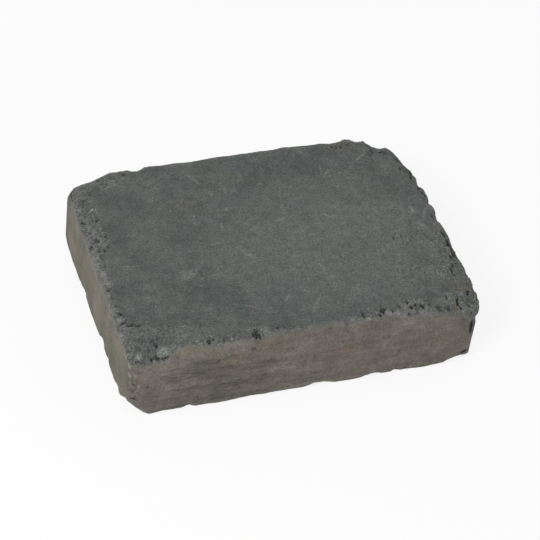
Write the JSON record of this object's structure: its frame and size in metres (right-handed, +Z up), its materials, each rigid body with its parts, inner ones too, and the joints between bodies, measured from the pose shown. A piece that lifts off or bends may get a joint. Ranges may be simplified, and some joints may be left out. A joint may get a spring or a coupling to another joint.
{
  "type": "tumbled concrete paving stone",
  "caption": "Rectangular tumbled concrete paving stone with a flat bed and wearing face, rounded corners and worn, chipped arrises, for laying paths, patios and drives.",
  "frame": {"origin": "middle of the bed, on the surface that the stone lies on", "axes": "+X along the front edge to the right, +Y from front to back, +Z up from the bed to the wearing face"},
  "size_m": [0.28, 0.206, 0.06],
  "materials": {
    "concrete": "through-coloured pressed concrete, tumbled, matt, grained and pitted"
  },
  "bodies": {
    "root": {"paving_stone": "concrete"}
  },
  "joints": []
}
